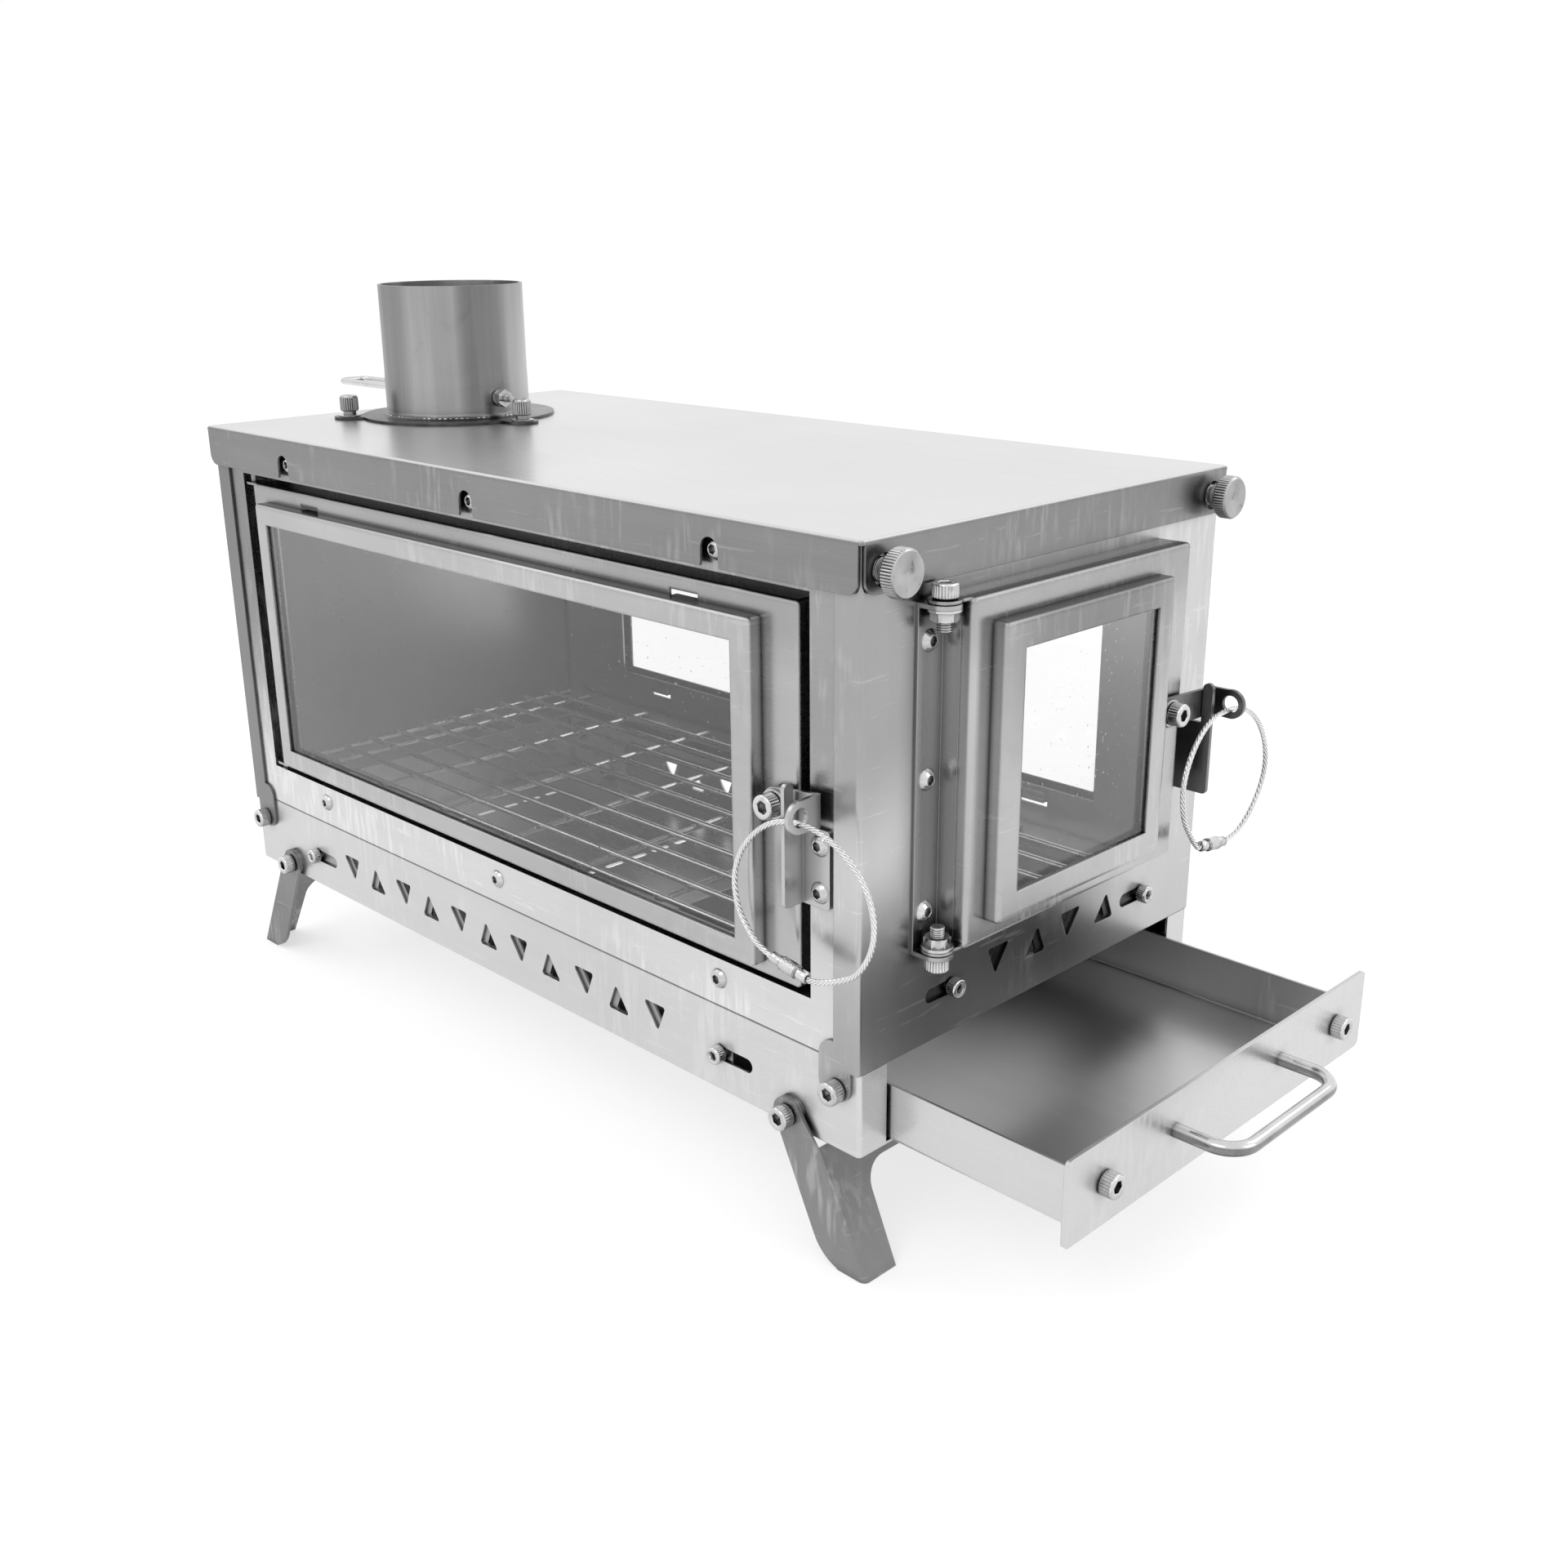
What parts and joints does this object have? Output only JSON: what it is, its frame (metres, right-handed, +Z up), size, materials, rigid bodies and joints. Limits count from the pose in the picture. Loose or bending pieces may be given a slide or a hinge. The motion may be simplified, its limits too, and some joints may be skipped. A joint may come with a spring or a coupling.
{
  "type": "folding camping stove",
  "caption": "Stainless sheet tent stove on folding legs with two hinged glass doors, lift latches, sliding air vents, pull-out ash drawer and a flue collar with a turning damper.",
  "frame": {"origin": "centre of the top plate's upper face", "axes": "+Z up, +X towards the end with the small door and the drawer, -Y towards the long glass door; the flue stands near -X"},
  "size_m": [0.5429, 0.2223, 0.312],
  "materials": {
    "sheet": "finely brushed bright stainless sheet",
    "inner_sheet": "plain mill finish, duller than the outside",
    "latch_plate": "laser cut plate with broken edges",
    "legs": "plain plate, darker in shade",
    "flue": "satin turned tube and disc",
    "rod": "bright drawn rod",
    "hardware": "bright machined screws, nuts and washers",
    "cable": "twisted wire strands",
    "gasket": "dark woven heat-proof tape",
    "glass": "clear heat-proof pane"
  },
  "bodies": {
    "stove": {"base_frame": "sheet", "drawer_rails": "inner_sheet", "front_panel": "sheet", "back_panel": "sheet", "door_end_panel": "sheet", "rear_end_panel": "sheet", "top_plate": "sheet", "flue_collar": "flue", "collar_screws": "hardware", "thumb_screws": "hardware", "panel_screws": "hardware", "tab_screws": "hardware", "end_jamb": "sheet", "jamb_screws": "hardware", "end_hinge_bolts": "hardware", "end_hinge_nuts": "hardware", "end_strike": "latch_plate", "long_strike": "latch_plate", "strike_screws": "hardware", "back_retainer": "sheet", "back_glass": "glass", "back_gasket": "gasket", "wire_grate": "rod", "grate_rests": "inner_sheet", "bail_bolts": "hardware"},
    "long_door": {"long_door_frame": "sheet", "long_door_retainer": "sheet", "long_door_glass": "glass", "long_door_gasket": "gasket", "long_latch_bolt": "hardware", "long_latch_washers": "hardware"},
    "long_latch": {"long_latch_lever": "latch_plate"},
    "long_ring": {"long_ring_cable": "cable", "long_ring_clasp": "hardware"},
    "end_door": {"end_door_frame": "sheet", "end_door_retainer": "sheet", "end_door_glass": "glass", "end_door_gasket": "gasket", "end_latch_bolt": "hardware", "end_latch_washers": "hardware"},
    "end_latch": {"end_latch_lever": "latch_plate"},
    "end_ring": {"end_ring_cable": "cable", "end_ring_clasp": "hardware"},
    "ash_drawer": {"ash_tray": "sheet", "drawer_front": "sheet", "drawer_handle": "rod", "handle_screws": "hardware", "drawer_screws": "hardware"},
    "door_end_leg": {"door_end_bail": "legs"},
    "rear_end_leg": {"rear_end_bail": "legs"},
    "front_slider": {"front_vent_slider": "inner_sheet", "front_slider_bolts": "hardware"},
    "back_slider": {"back_vent_slider": "inner_sheet", "back_slider_bolts": "hardware"},
    "end_slider": {"end_vent_slider": "inner_sheet", "end_slider_bolts": "hardware"},
    "damper": {"damper_spindle": "flue", "damper_plate": "flue", "damper_nut": "hardware"}
  },
  "joints": [
    {"name": "long_door_hinge", "type": "hinge", "parent": "stove", "child": "long_door", "pos_m": [-0.171, -0.0942, -0.089], "axis": [0, 0, -1], "range_deg": [0, 105]},
    {"name": "long_latch_lift", "type": "hinge", "parent": "long_door", "child": "long_latch", "pos_m": [0.1645, -0.1, -0.0891], "axis": [0, -1, 0], "range_deg": [0, 80]},
    {"name": "long_ring_swing", "type": "hinge", "parent": "long_latch", "child": "long_ring", "pos_m": [0.18265, -0.109, -0.08935], "axis": [-1, 0, 0], "range_deg": [0, 90]},
    {"name": "end_door_hinge", "type": "hinge", "parent": "stove", "child": "end_door", "pos_m": [0.2048, -0.0675, -0.0803], "axis": [0, 0, -1], "range_deg": [0, 105]},
    {"name": "end_latch_lift", "type": "hinge", "parent": "end_door", "child": "end_latch", "pos_m": [0.2125, 0.0485, -0.0813], "axis": [1, 0, 0], "range_deg": [0, 75]},
    {"name": "end_ring_swing", "type": "hinge", "parent": "end_latch", "child": "end_ring", "pos_m": [0.2215, 0.07775, -0.0848], "axis": [0, -1, 0], "range_deg": [0, 90]},
    {"name": "drawer_slide", "type": "slide", "parent": "stove", "child": "ash_drawer", "axis": [1, 0, 0], "range_m": [-0.0775, 0.1]},
    {"name": "door_end_leg_fold", "type": "hinge", "parent": "stove", "child": "door_end_leg", "pos_m": [0.1665, 0, -0.2024], "axis": [0, 1, 0], "range_deg": [0, 105]},
    {"name": "rear_end_leg_fold", "type": "hinge", "parent": "stove", "child": "rear_end_leg", "pos_m": [-0.1665, 0, -0.2024], "axis": [0, -1, 0], "range_deg": [0, 105]},
    {"name": "front_vents_slide", "type": "slide", "parent": "stove", "child": "front_slider", "axis": [1, 0, 0], "range_m": [0, 0.0137]},
    {"name": "back_vents_slide", "type": "slide", "parent": "stove", "child": "back_slider", "axis": [1, 0, 0], "range_m": [0, 0.0137]},
    {"name": "end_vents_slide", "type": "slide", "parent": "stove", "child": "end_slider", "axis": [0, 1, 0], "range_m": [-0.0108, 0]},
    {"name": "damper_turn", "type": "hinge", "parent": "stove", "child": "damper", "pos_m": [-0.1475, 0, 0.01], "axis": [1, 0, 0], "range_deg": [0, 90]}
  ]
}
